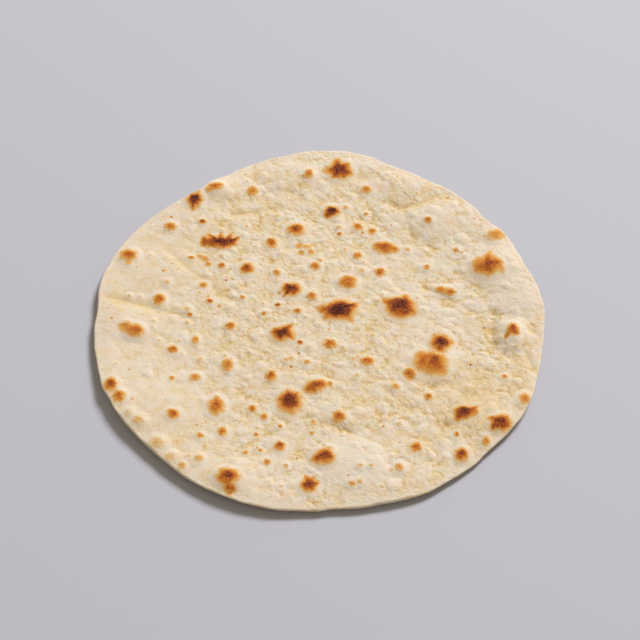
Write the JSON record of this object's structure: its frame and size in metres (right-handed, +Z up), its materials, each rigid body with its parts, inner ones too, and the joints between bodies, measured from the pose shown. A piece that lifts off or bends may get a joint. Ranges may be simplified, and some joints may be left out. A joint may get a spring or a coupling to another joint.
{
  "type": "lavash",
  "caption": "Thin round flatbread, blistered and toasted in spots on top, slightly cupped towards its rim, for serving, tearing or wrapping.",
  "frame": {"origin": "on the resting plane, under the middle of the bread's box", "axes": "+Z up out of the blistered top, +Y towards the back of the bread, +X to its right"},
  "size_m": [0.2576, 0.2594, 0.0086],
  "materials": {
    "baked_dough": "matte"
  },
  "bodies": {
    "root": {"lavash": "baked_dough"}
  },
  "joints": []
}
